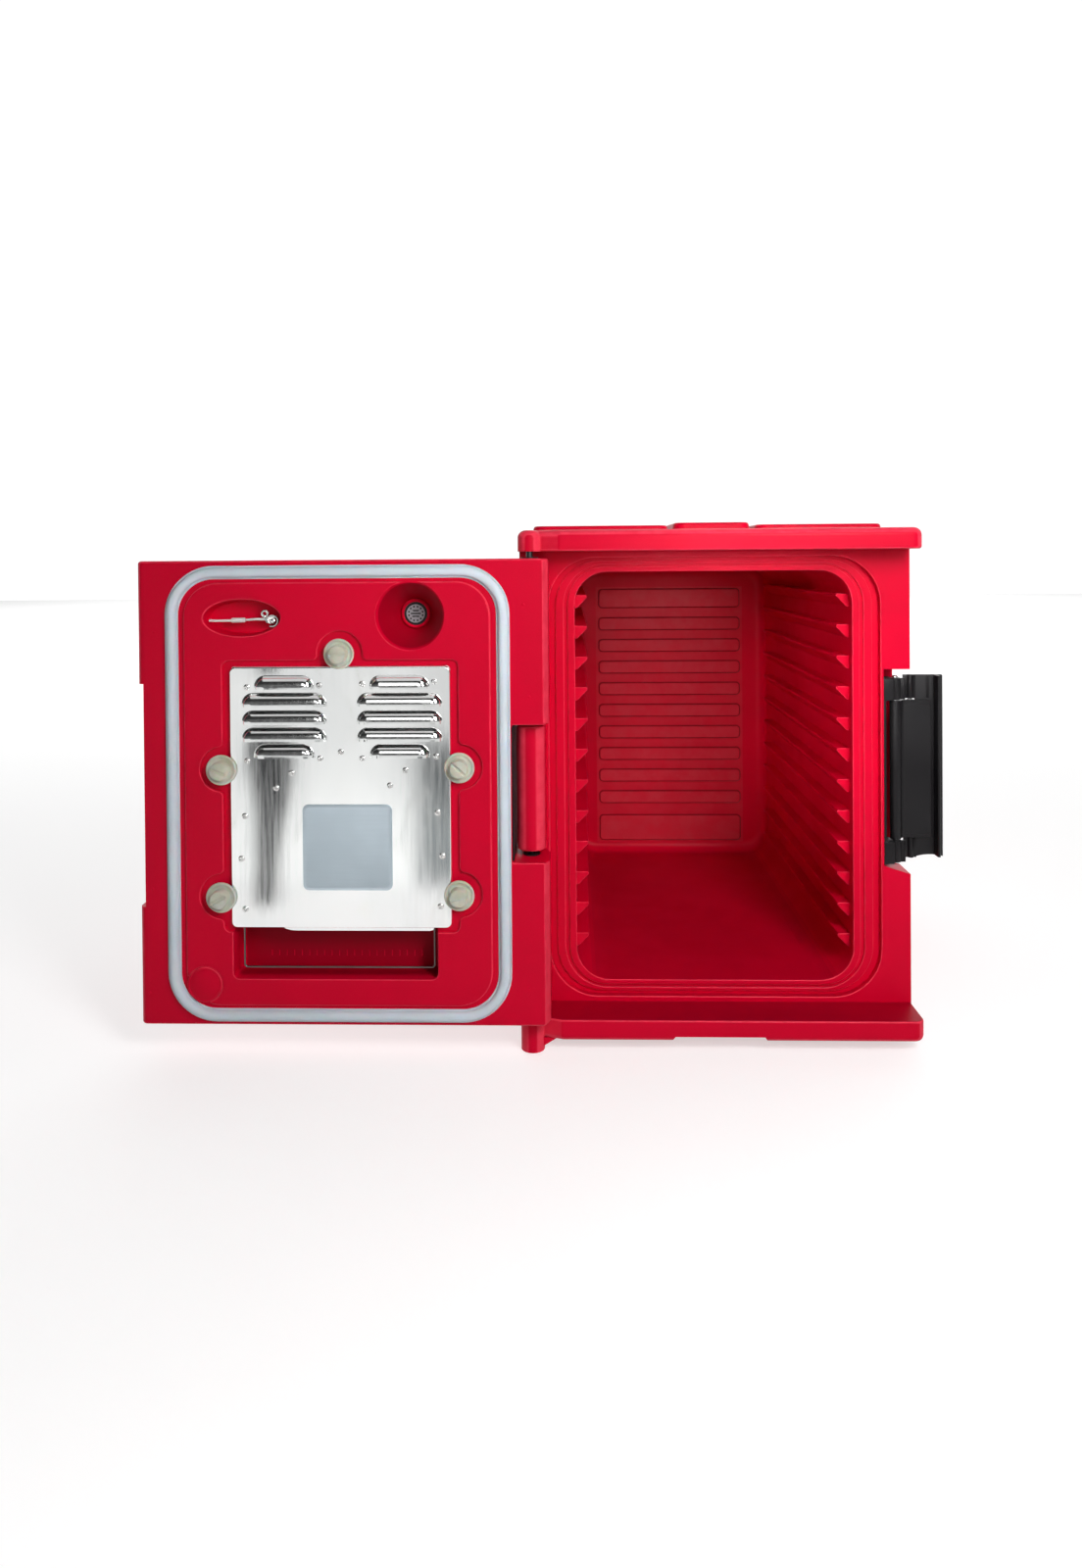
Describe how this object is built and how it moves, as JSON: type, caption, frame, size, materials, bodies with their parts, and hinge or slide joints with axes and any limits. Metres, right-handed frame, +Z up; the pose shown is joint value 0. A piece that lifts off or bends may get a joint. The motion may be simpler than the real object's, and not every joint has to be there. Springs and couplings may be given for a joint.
{
  "type": "heated pan carrier",
  "caption": "Front-loading insulated food-pan carrier with side-hinged heated door, draw latch, louvred heater module, pan rails and sealing gasket.",
  "frame": {"origin": "on the floor, midway across the cabinet, in the plane of its front face", "axes": "+X to the right seen from the front, +Y from the front face to the back, +Z up"},
  "size_m": [0.9566, 0.6944, 0.623],
  "materials": {
    "red_plastic": "rotomoulded polyethylene, semi-gloss with a fine orange-peel grain",
    "foam": "rigid closed-cell polyurethane foam",
    "silicone_grey": "smooth silver-grey silicone",
    "black_nylon": "black glass-filled nylon with a satin sheen",
    "black_gloss": "glossy black ABS",
    "natural_nylon": "natural off-white nylon, slightly translucent",
    "steel_sheet": "mill-polished stainless sheet with faint smears",
    "steel_bright": "bright stainless",
    "steel_dull": "dull stainless",
    "galvanised": "galvanised sheet",
    "label_grey": "satin silver-grey foil",
    "grey_plastic": "grey moulded plastic",
    "white_plastic": "white moulded plastic",
    "dial_white": "white enamelled dial",
    "pointer_red": "red painted pointer",
    "clear_glass": "clear flat glass",
    "lamp_amber": "amber lens",
    "copper_wire": "silicone-insulated wire"
  },
  "bodies": {
    "cabinet": {"cabinet_shell": "red_plastic", "cabinet_foam": "foam", "cabinet_plugs": "red_plastic", "hinge_rod": "steel_bright", "hinge_rod_cap": "black_nylon", "latch_mount": "black_nylon", "latch_mount_screws": "steel_dull", "latch_pin": "steel_bright"},
    "door": {"door_shell": "red_plastic", "door_foam": "foam", "door_gasket": "silicone_grey", "hinge_bushes": "natural_nylon", "notch_liner": "black_nylon", "latch_keeper": "black_nylon", "door_plug": "red_plastic", "heater_cover": "steel_sheet", "heater_box": "galvanised", "fan_motor": "galvanised", "heater_element": "steel_dull", "element_clips": "galvanised", "heater_leads": "copper_wire", "thermostat": "black_nylon", "overheat_cutout": "steel_dull", "terminal_block": "white_plastic", "nylon_washers": "natural_nylon", "nylon_screws": "natural_nylon", "cover_screws": "steel_bright", "label_plate": "label_grey", "wire_guard": "steel_bright", "vent_sleeve": "grey_plastic", "vent_insert": "grey_plastic", "probe_stem": "steel_bright", "probe_sleeve": "white_plastic", "probe_clip": "white_plastic", "thermometer_case": "steel_bright", "thermometer_dial": "dial_white", "thermometer_glass": "clear_glass", "control_panel": "black_nylon", "panel_screws": "steel_bright", "switch_housing": "black_gloss", "indicator_lamp": "lamp_amber", "power_inlet": "black_gloss", "inlet_pins": "steel_bright"},
    "latch_link": {"latch_link": "black_nylon", "paddle_pin": "steel_bright"},
    "latch_paddle": {"latch_paddle": "black_nylon"},
    "fan": {"fan_shaft": "steel_bright", "fan_wheel": "galvanised"},
    "vent_cap": {"vent_cap": "black_nylon"},
    "pointer": {"thermometer_pointer": "pointer_red"},
    "rocker": {"rocker_switch": "black_gloss"}
  },
  "joints": [
    {"name": "door_hinge", "type": "hinge", "parent": "cabinet", "child": "door", "pos_m": [-0.221, -0.038, 0.3115], "axis": [0, 0, 1], "range_deg": [0, 180]},
    {"name": "latch_mount_pivot", "type": "hinge", "parent": "cabinet", "child": "latch_link", "pos_m": [0.2215, 0.014, 0.319], "axis": [0, 0, 1], "range_deg": [-90, 15]},
    {"name": "latch_paddle_pivot", "type": "hinge", "parent": "latch_link", "child": "latch_paddle", "pos_m": [0.243, 0.025, 0.319], "axis": [0, 0, 1], "range_deg": [0, 28]},
    {"name": "fan_spin", "type": "hinge", "parent": "door", "child": "fan", "pos_m": [-0.4383, -0.058, 0.388], "axis": [0, 1, 0], "continuous": true},
    {"name": "vent_cap_turn", "type": "hinge", "parent": "door", "child": "vent_cap", "pos_m": [-0.357, -0.008, 0.5155], "axis": [0, 1, 0], "range_deg": [0, 90]},
    {"name": "thermometer_sweep", "type": "hinge", "parent": "door", "child": "pointer", "pos_m": [-0.551, -0.0115, 0.514], "axis": [0, 1, 0], "range_deg": [-270, 0]},
    {"name": "power_rocker", "type": "hinge", "parent": "door", "child": "rocker", "pos_m": [-0.486, -0.014, 0.304], "axis": [1, 0, 0], "range_deg": [0, 14]}
  ]
}
